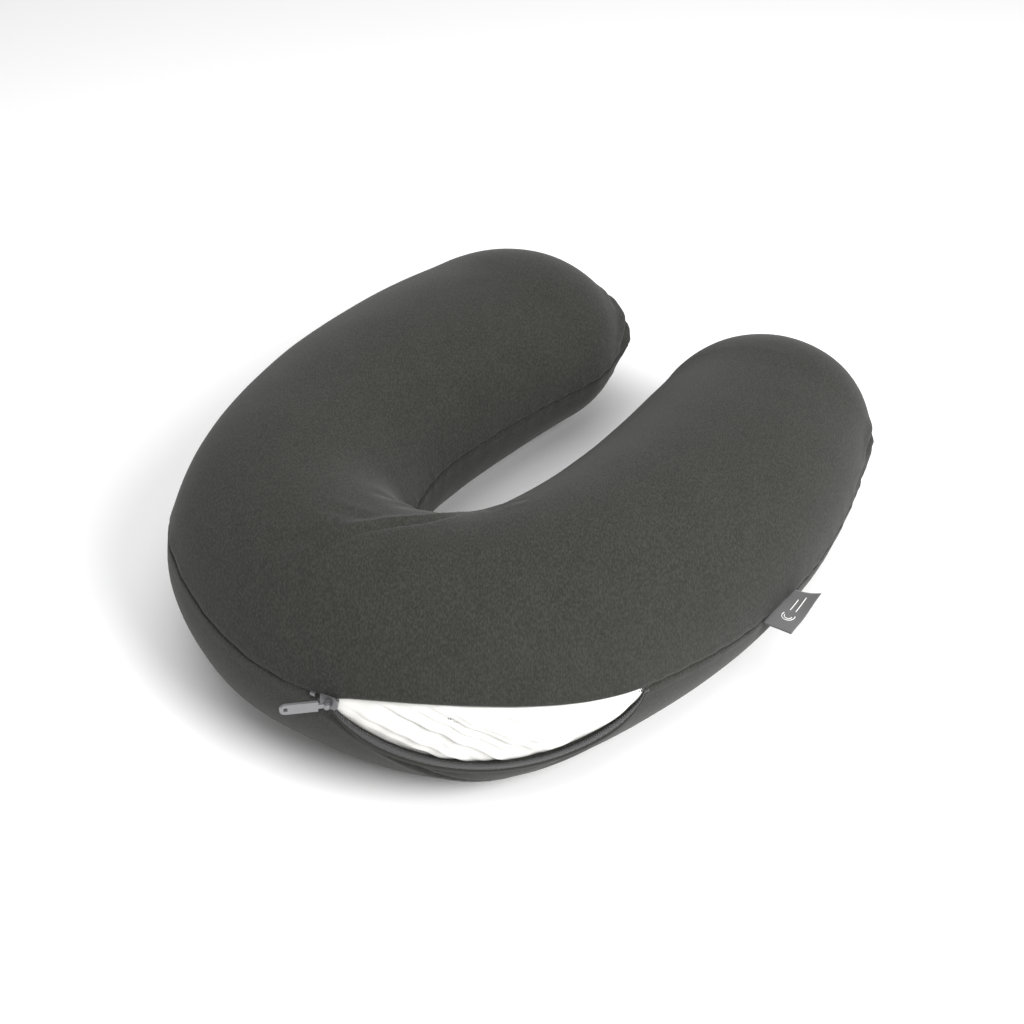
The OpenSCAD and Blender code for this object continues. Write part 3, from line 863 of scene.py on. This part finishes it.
def cover_surface(plan, wrinkles):
    """Points (rings, columns, 3) of the cover, with its seams, folds and wrinkles."""
    s = plan.rings(0.0032, 36)
    across, depth = cover_columns(plan, s)
    grid = plan.skin(s[:, None], across, depth)
    normals = grid_normals(plan.skin(s[:, None], across), True)
    points, flat_n = grid.reshape(-1, 3), normals.reshape(-1, 3)
    turn = plan.turn_at(s)
    opened = opening_share(plan, turn)[:, None]
    outer, inner = seam_height(plan, s[:, None], across)
    ring = plan.rounding(s)[:, None]
    upper, lower = (v[:, None] for v in plan.lips(turn))
    here = wrapped(across)
    height = np.sin(here) * plan.o.back_h
    above, below = height - upper, lower - height
    front = np.abs(here) < math.pi / 2
    past_lip = np.where(front, np.maximum(above, below), 1.0)
    rise = np.zeros(grid.shape[:2])
    # seams: a groove, a raised allowance beside it, and small puckers that fade away from it
    pucker = drift(s, 3, 0.013)[:, None]
    for gap, seed, shut in ((outer, 5, 1 - opened), (inner, 6, 1.0)):
        allowance = np.exp(-((gap - 0.0042) / 0.003) ** 2) * 0.0003
        groove = -np.exp(-(gap / 0.0012) ** 2) * (0.0 if gap is outer else 0.0014)
        waves = drift(s, seed, 0.017)[:, None] * np.exp(-gap / 0.009) * 0.00035
        rise += shut * (allowance + groove + waves + pucker * np.exp(-gap / 0.005) * 0.0002)
    # the lips: a soft roll at the edge and a step where the facing ends
    roll = np.exp(-((past_lip - 0.0016) / 0.0018) ** 2) * 0.0009
    facing = smooth((0.009 - past_lip) / 0.003) * smooth(past_lip / 0.001) * 0.0005
    sag = np.exp(-((past_lip - 0.004) / 0.006) ** 2) * drift(s, 8, 0.05)[:, None] * 0.0006
    rise += opened * np.where(past_lip > -1e-9, roll + facing + sag, 0)
    # lumps of the filling
    rise += (lumps(points, 11, 0.1) * 0.00035 + lumps(points, 12, 0.045) * 0.0001).reshape(rise.shape)
    covered = np.where(past_lip < 0, 0.0, smooth(past_lip / 0.01))
    covered = np.where(opened > 0.02, covered, 1.0)
    extra = np.zeros(len(points))
    for marks, deep, wide, crest in FOLDS:
        extra += fold(points, flat_n, surface_path(plan, marks), deep * MM, wide * MM, crest)
    for along, degrees, reach, tall in BUMPS:
        centre = plan.skin(along * MM, math.radians(degrees))
        extra += tall * MM * np.exp(-(np.linalg.norm(points - centre, axis=1) / (reach * MM)) ** 2)
    if wrinkles is not None:
        cap = plan.o.wrinkle_cap
        extra += cap * np.tanh(carried(points, *wrinkles) / cap)
    # the resting face stays on the floor
    free = smooth(points[:, 2] / 0.02).reshape(rise.shape)
    rise += extra.reshape(rise.shape) * covered * np.maximum(free, 0.15)
    rise *= np.where(ring < 0.2, ring / 0.2, 1)
    grid = grid + normals * rise[..., None]
    grid[..., 2] = np.maximum(grid[..., 2], 0.0)
    return s, grid


def flex_line(plan, side):
    """Start and end of a line along the cloth at an arm's root."""
    centre, _, along = plan.spine(side * plan.flex_at)
    middle = np.append(centre, 0.078)
    reach = np.append(along * side, 0) * plan.o.flex_run
    return tuple(middle - reach), tuple(middle + reach)


ARMS = (("right", 1, "right_arm"), ("left", -1, "left_arm"))


def two_halves(name, plan, s, grid, material, cloth, nodes):
    """Splits a closed skin at the middle of the back into two pieces, one for each arm. Their shading
    runs on across the join."""
    cols = grid.shape[1]
    normals = grid_normals(grid, True)
    middle = int(np.argmin(np.abs(s)))
    made = []
    for word, side, body in ARMS:
        rows = np.arange(middle, len(s)) if side > 0 else np.arange(0, middle + 1)
        points = grid[rows].reshape(-1, 3)
        marks = cloth[rows].reshape(-1, 3)
        shade = normals[rows].reshape(-1, 3)
        faces = loop_faces(len(rows), cols)
        end = len(rows) - 1 if side > 0 else 0
        ring = np.arange(cols) + end * cols
        tip = points[ring].mean(0)
        faces += fan(ring, len(points), side > 0)
        points = np.concatenate([points, tip[None]])
        marks = np.concatenate([marks, marks[ring].mean(0)[None]])
        before_tip = points[ring + (cols if side < 0 else -cols)].mean(0)
        shade = np.concatenate([shade, unit(tip - before_tip)[None]])
        piece = new_object(f"{name}_{word}", points, faces, material)
        piece.data.normals_split_custom_set_from_vertices([tuple(n) for n in shade])
        keep_place(piece, marks)
        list(flex_line(plan, side))
        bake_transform(piece)
        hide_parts(*(f"{node}_{body}" for node in nodes))
        if side > 0:
            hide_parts(*(f"{node}_back" for node in nodes))
        made.append(piece)
    return made


def cloth_grain(points, lean=0.55):
    """Place on the cloth, drawn out along the grain, which runs from the back to the tips."""
    along = np.array([-math.sin(lean), math.cos(lean), 0.0])
    across = np.array([math.cos(lean), math.sin(lean), 0.0])
    return np.stack([points @ across, points @ along * 0.42, points[..., 2] * 0.42], -1)


class PILLOW_OT_cover(bpy.types.Operator):
    """Builds the jersey cover in two halves, one for each arm"""

    bl_idname = "pillow.cover"
    bl_label = "Cover"

    def execute(self, context):
        plan = Plan()
        wrinkles = None
        marks = [(plan.skin(a * MM, math.radians(b)), r * MM) for a, b, r in SLACK]
        wrinkles = inflated(plan, marks)
        s, grid = cover_surface(plan, wrinkles)
        jersey = shared_finish("heathered_jersey", jersey_finish)
        two_halves("cover", plan, s, grid, jersey, cloth_grain(grid),
                   ("cover_top", "cover_bottom"))
        return {"FINISHED"}


# ---- Hidden casing and filling ---------------------------------------------------------------


SEAM_DIP = 0.001       # depth of the casing's seam


class PILLOW_OT_inside(bpy.types.Operator):
    """Builds the inner casing and the bead filling inside it"""

    bl_idname = "pillow.inside"
    bl_label = "Casing and filling"

    def execute(self, context):
        plan = Plan()
        shape = plan.o
        casing = shared_finish("casing_cotton", casing_finish)
        beads = shared_finish("expanded_beads", beads_finish)
        s = plan.rings(0.0085, 12)
        across = np.arange(64)[None, :] * 2 * math.pi / 64
        for name, deep, material, nodes, slot, ripple in (
                ("inner_casing", shape.casing_depth, casing,
                 ("casing_top", "casing_bottom"), "casing", 0.5),
                ("bead_filling", shape.filling_depth, beads, ("bead_fill",), "beads", 0.3)):
            grid = plan.skin(s[:, None], across, deep)
            normals = grid_normals(grid, True)
            flat = grid.reshape(-1, 3)
            seam = np.exp(-(np.abs(np.sin(across)) * shape.back_h / 0.004) ** 2)
            ring = np.minimum(plan.rounding(s)[:, None] / 0.3, 1)
            bumps = lumps(flat, 21, 0.03).reshape(grid.shape[:2])
            dip = -seam * SEAM_DIP - (0.5 + 0.5 * bumps) * ripple * MM
            grid = grid + normals * (dip * ring)[..., None]
            two_halves(name, plan, s, grid, material, grid, nodes)
        return {"FINISHED"}


# ---- Zip -------------------------------------------------------------------------------------


def zip_rows(plan, turns, edge, profile, grow):
    """Rows of points along a lip. The profile lists (mm beyond the lip's edge towards the
    opening, depth in mm), and grow scales it at each place."""
    turns, grow = np.asarray(turns), np.asarray(grow)
    upper, lower = plan.lips(turns)
    base = upper if edge > 0 else lower
    profile = np.array(profile) * MM
    height = base[:, None] - edge * grow[:, None] * profile[None, :, 0]
    depth = grow[:, None] * profile[None, :, 1]
    return plan.skin(plan.place_at(turns)[:, None], plan.lift(height), depth)


def squashed(piece):
    """Gives a piece its own mesh and attaches it to the back."""
    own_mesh(piece)
    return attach(piece, "back")


def capped_tube(name, rows, material):
    """A closed solid through rings of points, with flat ends."""
    ends = np.stack([rows[0].mean(0), rows[-1].mean(0)])
    points = np.concatenate([rows.reshape(-1, 3), ends])
    return new_object(name, points, closed_faces(*rows.shape[:2]), material)


def teeth(plan, turns, edge, offset, depth, reach, grow):
    """The wound teeth of a coil along a lip: one short bar across the edge for each tooth."""
    heap = Heap()
    count = 5
    inner = zip_rows(plan, turns, edge, [(offset - reach / 2, depth), (offset, depth - 0.55),
                                         (offset + reach / 2, depth)], grow)
    t = np.linspace(0, 1, count)[:, None]
    for row in inner:
        line = (1 - t) ** 2 * row[0] + 2 * t * (1 - t) * row[1] + t ** 2 * row[2]
        side = np.tile(unit(np.cross(row[2] - row[0], row[1] - row[0] + 1e-9)), (count, 1))
        points, faces = tube(line, 0.00042, 6, side=side)
        heap.add(points, faces)
    return heap


def lens_turns(plan, count, before=0.0, after=0.0):
    return np.linspace(plan.z.open_at - before, plan.z.end_at + after, count)


def band_growth(plan, turns, least=0.35):
    return least + (1 - least) * smooth(plan.gape(turns) * 1.7)


# Cross-sections along the lips: mm beyond the lip's edge towards the opening, and depth in mm
LOWER_TAPE = ((2.4, -0.1), (2.2, -1.3), (0.6, -1.9), (-1.6, -2.1), (-3.2, -1.8), (-3.2, -1.0),
              (-1.4, -1.1), (0.6, -0.9), (1.4, -0.1))
LOWER_ROLL = ((-1.9, -1.5), (-2.2, -2.4), (-3.3, -3.0), (-4.9, -3.1), (-6.3, -2.5), (-7.1, -1.2),
              (-7.0, 0.4), (-5.6, 1.2), (-3.2, 0.9), (-2.0, -0.4))
UPPER_TAPE = ((0.5, 1.4), (0.2, 0.75), (-0.6, 0.9), (-1.4, 1.6), (-1.3, 2.3), (-0.4, 2.2))
FOLD_HEIGHT = 0.002    # height of the casing's folds, and the most that one dips


class PILLOW_OT_zip(bpy.types.Operator):
    """Builds the casing that shows in the opening, the zip's tapes, coils and rolled edge"""

    bl_idname = "pillow.zip"
    bl_label = "Zip opening"

    def gap_casing(self, plan):
        """The swell of the inner casing between the two lips, with its slanting folds."""
        rows, cols = 170, 60
        turns = lens_turns(plan, rows, math.radians(0.5), math.radians(0.4))
        upper, lower = plan.lips(turns)
        grow = opening_share(plan, turns)
        v = np.linspace(0, 1, cols)
        tuck = 1.1 * MM * grow
        height = (upper + tuck)[:, None] * v + (lower - tuck)[:, None] * (1 - v)
        swell = np.sin(np.pi * v)[None, :] ** 0.75
        depth = (plan.z.pocket * (0.72 - 0.68 * swell)) * grow[:, None] + 0.0005 * (1 - grow[:, None])
        s = plan.place_at(turns)[:, None]
        grid = plan.skin(s, plan.lift(height), depth)
        normals = grid_normals(plan.skin(s, plan.lift(height)), False)
        x = s * plan.seam_r / plan.o.bend_r + 0 * height
        y = height
        bend = 0.012 * np.sin((y - 0.01) / 0.016) + 0.004 * np.sin(x / 0.019)
        wave = drift(x + y * 1.15 + bend, 31, 0.021, 5)
        lean = 1.2 + 2.2 * smooth((x - 0.13) / 0.09)
        ridge = np.abs(np.sin((x + y * lean + bend) / 0.0068 + 0.9 * wave)) ** 0.6
        folds = (ridge - 0.55) * 1.25 + 0.5 * wave
        where = smooth(1.3 * (1 - np.abs((x - 0.118) / 0.085))) * swell ** 0.5
        low = drift(x * 1.3 - y * 0.7, 33, 0.03, 5) * 0.4
        # no fold dips as far as the pocket's floor behind it
        height = FOLD_HEIGHT * np.maximum(folds * where + low * swell, -swell)
        grid = grid + normals * (height * grow[:, None])[..., None]
        casing = shared_finish("casing_cotton", casing_finish)
        made = new_object("casing_in_opening", grid.reshape(-1, 3), sheet_faces(rows, cols), casing)
        keep_place(made, grid.reshape(-1, 3))
        return squashed(made)

    def strip(self, plan, name, edge, profile, material, slot, *nodes):
        turns = lens_turns(plan, 120, math.radians(2.4), math.radians(1.6))
        rows = zip_rows(plan, turns, edge, profile, band_growth(plan, turns))
        made = capped_tube(name, rows[:, ::edge], material)
        keep_place(made, np.stack([
            np.repeat(np.linspace(0, 0.19, len(turns)), rows.shape[1]).tolist() + [0.0, 0.19],
            np.tile(np.linspace(0, 0.016, rows.shape[1]), len(turns)).tolist() + [0.0, 0.0],
            np.zeros(rows.shape[0] * rows.shape[1] + 2)], -1))
        if nodes:
            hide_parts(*nodes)
        return squashed(made)

    def coil(self, plan, name, edge, offset, depth, reach, material, *nodes):
        turns = lens_turns(plan, int(plan.zip_run / plan.z.tooth_pitch))
        heap = teeth(plan, turns, edge, offset, depth, reach, band_growth(plan, turns, 0.6))
        made = heap.made(name, material)
        if nodes:
            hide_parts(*nodes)
        return squashed(made)

    def closed_coil(self, plan, material):
        """The closed coil behind the casing's swell, which shows once the zip is shut."""
        turns = lens_turns(plan, int(plan.zip_run / plan.z.tooth_pitch))
        opened = opening_share(plan, turns)
        floor = (plan.z.pocket * (1 - FLOOR_CROWN)) * opened + GROOVE * (1 - opened)
        heap = Heap()
        for side in (-1, 1):
            # the two sides stand a little apart along the zip, so that their teeth mesh
            for at, h, deep in zip(turns + side * 0.0018, plan.rise(turns), floor):
                ends = np.array([0.15, 1.2, 2.4]) * side * MM
                depth = deep - np.array([0.5, 0.8, 0.1]) * MM
                line = plan.skin(plan.place_at(at), plan.lift(h + ends), depth)
                heap.add(*tube(line, 0.00045, 5, side=np.tile([0.6, 0.8, 0.0], (3, 1))))
        made = heap.made("zip_coil_shut", material)
        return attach(made, "back")

    def stitches(self, plan):
        """The row of stitches that holds the lower tape to the rolled edge."""
        thread = thread_finish("dark_thread", (0.05, 0.05, 0.05))
        pitch = plan.z.stitch * 1.45
        starts = np.linspace(plan.z.open_at, plan.z.end_at, int(plan.zip_run / pitch))
        heap = Heap()
        for start in starts[2:-2]:
            turns = start + np.linspace(0, plan.z.stitch / plan.seam_r, 4)
            line = zip_rows(plan, turns, -1, [(-1.0, -2.25)], band_growth(plan, turns))[:, 0]
            heap.add(*tube(line, 0.00022, 6))
        made = heap.made("zip_stitches", thread)
        return squashed(made)

    def execute(self, context):
        plan = Plan()
        tape = shared_finish("zip_tape_twill", tape_finish)
        coil = shared_finish("zip_coil_nylon", coil_finish)
        jersey = shared_finish("heathered_jersey", jersey_finish)
        self.gap_casing(plan)
        self.strip(plan, "zip_tape_low", -1, LOWER_TAPE, tape, "zip_tape", "zip_tape_lower")
        self.strip(plan, "cover_rolled_edge", -1, LOWER_ROLL, jersey, "jersey")
        self.strip(plan, "zip_tape_high", 1, UPPER_TAPE, tape, "zip_tape", "zip_tape_upper")
        self.coil(plan, "zip_coil_low", -1, 2.3, -0.8, 2.4, coil, "zip_coil_lower")
        self.coil(plan, "zip_coil_high", 1, 0.1, 1.3, 1.9, coil, "zip_coil_upper")
        self.closed_coil(plan, coil)
        self.stitches(plan)
        return {"FINISHED"}


class PILLOW_OT_hardware(bpy.types.Operator):
    """Gives the slider, its pull and the zip's stops their enamelled finish"""

    bl_idname = "pillow.hardware"
    bl_label = "Zip hardware"

    def execute(self, context):
        colours = settings()[3]
        body = metal_finish("slider_enamel", colours.metal, 0.8)
        pull = metal_finish("pull_enamel", tuple(1.7 * c for c in colours.metal), 0.5)
        for node, material in (("zip_slider", body), ("zip_pull_pin", body), ("zip_pull_tab", pull),
                               ("zip_bottom_stop", body), ("zip_top_stop_upper", body),
                               ("zip_top_stop_lower", body)):
            piece = frame["nodes"][node]
            piece.data.materials.clear()
            piece.data.materials.append(material)
        return {"FINISHED"}


# ---- Labels ----------------------------------------------------------------------------------


def curled(a, t, curl):
    """Fall of a label's face, from -0.5 to 0.5 along it and from 0 to 1 outwards: its far corner
    curls up."""
    return -curl * t * t * (a + 0.5) ** 1.6 + 0.0004 * math.sin(9 * a + 2.2 * t)


def ribbon(name, base, across, out, size, thick, curl, material, cloth=0.00035):
    """A folded ribbon: two layers that meet in a rounded fold at the far edge."""
    cols, rows = 28, 18
    u = np.linspace(-0.5, 0.5, cols)
    lift = unit(np.cross(across, out))
    v = np.linspace(0, 1, rows)
    turn = np.linspace(0, math.pi, 7)[1:-1]
    reach = size[1] - thick / 2

    def layer(half):
        flat = [(reach * t, half * (1 - 0.3 * math.sin(math.pi * t))) for t in v]
        bend = [(reach + half * math.sin(a), half * math.cos(a)) for a in turn]
        return flat + bend + [(far, -side) for far, side in flat[::-1]]

    profile = layer(thick / 2) + layer(thick / 2 - cloth)[::-1]
    points, marks = [], []
    for a in u:
        for far, side in profile:
            t = far / size[1]
            points.append(base + across * a * size[0] + out * far + lift * (side + curled(a, t, curl)))
            marks.append((a * size[0], far, side))
    count = len(profile)
    faces = loop_faces(cols, count)
    for first, flip in ((0, True), ((cols - 1) * count, False)):
        for k in range(count // 2 - 1):
            a, b = first + k, first + count - 1 - k
            quad = [a, a + 1, b - 1, b]
            faces.append(quad if flip else quad[::-1])
    made = new_object(name, np.array(points), faces, material)
    keep_place(made, marks)
    return made, lift


class PILLOW_OT_labels(bpy.types.Operator):
    """Builds the folded side label with a plain crescent mark, and the care label inside"""

    bl_idname = "pillow.labels"
    bl_label = "Labels"

    def execute(self, context):
        shape, zipper, label, colours = settings()
        plan = Plan()
        woven = label_finish("side_label_weave", colours.label, 0.55)
        satin = label_finish("care_label_satin", (0.78, 0.78, 0.76), 0.35)
        mark = thread_finish("label_mark_thread", (0.66, 0.66, 0.64))
        middle = zipper.label_at
        along = np.append(plan.spine(middle)[2], 0.0)
        outward = np.append(plan.spine(middle)[1], 0.0)
        out = outward * math.cos(label.tilt) + UP * math.sin(label.tilt)
        size = (label.side_len, label.side_out)
        base = plan.skin(middle, -plan.droop(plan.turn_at(middle))) - out * 0.001
        piece, lift = ribbon("side_label_ribbon", base, along, out, size, 0.0011, label.curl, woven)
        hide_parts("side_label")
        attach(piece, "label")
        heap = Heap()

        def on_face(a, far, side):
            t = far / size[1]
            fall = curled(a / size[0], t, label.curl)
            return base + along * a + out * far + lift * (side * 0.00055 * (1 - 0.2 * t) + fall)

        for side in (-1, 1):
            for radius, span in ((0.0042, 1.25), (0.0026, 0.95)):
                turn = np.linspace(math.pi - span * 1.6, math.pi + span * 1.6, 17)
                line = [on_face(radius * math.cos(t) - 0.006, radius * math.sin(t) + 0.0105, side)
                        for t in turn]
                heap.add(*tube(line, 0.00032, 6, side=np.tile(lift, (len(line), 1))))
            for far, start, stop in ((0.0125, 0.0, 0.0135), (0.0085, 0.0, 0.0105)):
                line = [on_face(a, far, side) for a in np.linspace(start, stop, 9)]
                heap.add(*tube(line, 0.00034, 6, side=np.tile(lift, (len(line), 1))))
        stitched = heap.made("side_label_mark", mark)
        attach(stitched, "label")

        run = label.care_len * shape.bend_r / plan.seam_r
        s = -0.75 * plan.bend_len + run * np.linspace(0, 1, 21)
        across = np.radians(-30) + np.radians(26) * np.linspace(0, 1, 17)
        outer = plan.skin(s[:, None], across[None, :], 0.0036)
        inner = plan.skin(s[:, None], across[None, :], 0.0042)
        loop = np.concatenate([outer, inner[:, ::-1]], 1)
        care = capped_tube("care_label_ribbon", loop, satin)
        keep_place(care, places_of(care.data))
        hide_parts("care_label")
        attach(care, "back")
        return {"FINISHED"}


# ---- Stage -----------------------------------------------------------------------------------

CAMERA_DISTANCE = 1.2
CAMERA_LENS = 56.95
CAMERA_TURN = math.radians(31.65)
CAMERA_RISE = math.radians(39.57)
CAMERA_AIM = Vector((-0.0431, 0.0546, 0.0))
LIGHT_AIM = Vector((0, 0, 0.05))


def area_light(name, place, size, power):
    """A round soft light that points at the pillow."""
    data = bpy.data.lights.new(name, "AREA")
    data.shape, data.size, data.energy = "DISK", size, power
    light = bpy.data.objects.new(name, data)
    light.location = place
    light.rotation_euler = (LIGHT_AIM - Vector(place)).to_track_quat("-Z", "Y").to_euler()
    bpy.context.scene.collection.objects.link(light)


class PILLOW_OT_stage(bpy.types.Operator):
    """Sets the pale floor, the soft studio light and the camera"""

    bl_idname = "pillow.stage"
    bl_label = "Stage"

    def execute(self, context):
        scene = bpy.context.scene
        white = Finish("studio_floor", place="object", Specular_IOR_Level=0.2)
        grain = white.place.noise(2.0, 2.0, 0.5)
        white.set(Base_Color=grain.mixed(rgba((0.90, 0.90, 0.90)), rgba((0.92, 0.92, 0.92))),
                  Roughness=0.7 + grain * 0.1)
        half = 4.0
        corners = [(-half, -half, 0), (half, -half, 0), (half, half, 0), (-half, half, 0)]
        floor = new_object("floor", corners, [(0, 1, 2, 3)], white.material, soft=False)
        world = bpy.data.worlds.new("studio")
        scene.world = world
        world.use_nodes = True
        sky = world.node_tree.nodes["Background"]
        sky.inputs["Color"].default_value = (1.0, 1.0, 1.0, 1.0)
        sky.inputs["Strength"].default_value = 0.5
        area_light("key", (1.45, -0.4, 1.3), 1.0, 44)
        area_light("top", (0.1, -0.2, 1.8), 1.6, 20)
        camera = bpy.data.objects.new("camera", bpy.data.cameras.new("camera"))
        scene.collection.objects.link(camera)
        camera.data.lens, camera.data.sensor_width = CAMERA_LENS, 36
        back = Vector((math.sin(CAMERA_TURN) * math.cos(CAMERA_RISE),
                       -math.cos(CAMERA_TURN) * math.cos(CAMERA_RISE), math.sin(CAMERA_RISE)))
        camera.location = CAMERA_AIM + back * CAMERA_DISTANCE
        camera.rotation_euler = (-back).to_track_quat("-Z", "Y").to_euler()
        camera.data.clip_start, camera.data.clip_end = 0.01, 50
        scene.camera = camera
        scene.view_settings.view_transform = "Standard"
        return {"FINISHED"}


class PILLOW_PT_panel(bpy.types.Panel):
    """Lists the pillow's pieces and its sizes"""

    bl_idname = "PILLOW_PT_panel"
    bl_label = "Nursing Pillow"
    bl_space_type = "VIEW_3D"
    bl_region_type = "UI"
    bl_category = "Pillow"

    def draw(self, context):
        for operator in OPERATORS:
            self.layout.operator(operator.bl_idname)
        for group in settings():
            for name in group.bl_rna.properties.keys():
                if name not in ("rna_type", "name"):
                    self.layout.prop(group, name)


OPERATORS = (PILLOW_OT_cover, PILLOW_OT_inside, PILLOW_OT_zip, PILLOW_OT_hardware, PILLOW_OT_labels,
             PILLOW_OT_stage)
GROUPS = (("pillow_shape", PillowShape), ("pillow_zip", PillowZip), ("pillow_label", PillowLabel),
          ("pillow_colours", PillowColours))


def register():
    for name, group in GROUPS:
        bpy.utils.register_class(group)
        setattr(bpy.types.Scene, name, bpy.props.PointerProperty(type=group))
    for item in (*OPERATORS, PILLOW_PT_panel):
        bpy.utils.register_class(item)


def unregister():
    for item in (PILLOW_PT_panel, *OPERATORS[::-1]):
        bpy.utils.unregister_class(item)
    for name, group in GROUPS[::-1]:
        delattr(bpy.types.Scene, name)
        bpy.utils.unregister_class(group)


def main():
    register()
    for operator in OPERATORS:
        group, name = operator.bl_idname.split(".")
        getattr(getattr(bpy.ops, group), name)()
    bpy.context.view_layer.update()


if __name__ == "__main__":
    main()
